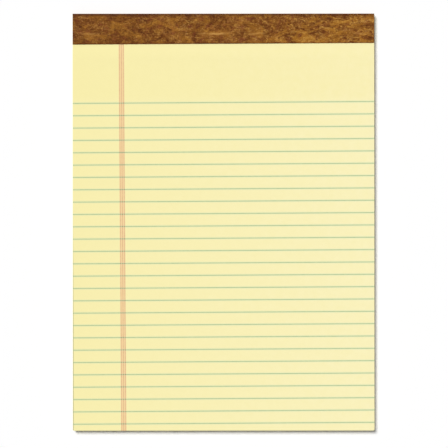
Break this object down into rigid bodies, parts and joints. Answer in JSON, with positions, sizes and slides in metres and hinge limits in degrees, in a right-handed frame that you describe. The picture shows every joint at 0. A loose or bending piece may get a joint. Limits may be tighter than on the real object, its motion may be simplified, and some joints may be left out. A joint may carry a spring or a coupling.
{
  "type": "legal pad",
  "caption": "Letter-size legal pad: ruled yellow sheets with red margin lines, perforated under a folded brown binding strip and stapled to a stiff chipboard back.",
  "frame": {"origin": "centre of the pad's back face, on the surface that it lies on", "axes": "+Y along the page towards the bound head, +X to the right of the page, +Z out of the writing page"},
  "size_m": [0.216, 0.2986, 0.0055],
  "materials": {
    "yellow_paper": "uncoated canary writing paper",
    "rule_ink": "thin blue-green printing ink on paper",
    "margin_ink": "thin red printing ink on paper",
    "chipboard": "plain grey-brown recycled chipboard",
    "leatherette": "mottled brown leather-look paper with a low sheen",
    "staple_wire": "plain drawn wire"
  },
  "bodies": {
    "root": {"sheets": "yellow_paper", "ruling": "rule_ink", "margin_lines": "margin_ink", "back_board": "chipboard", "binding_strip": "leatherette", "staples": "staple_wire"}
  },
  "joints": []
}
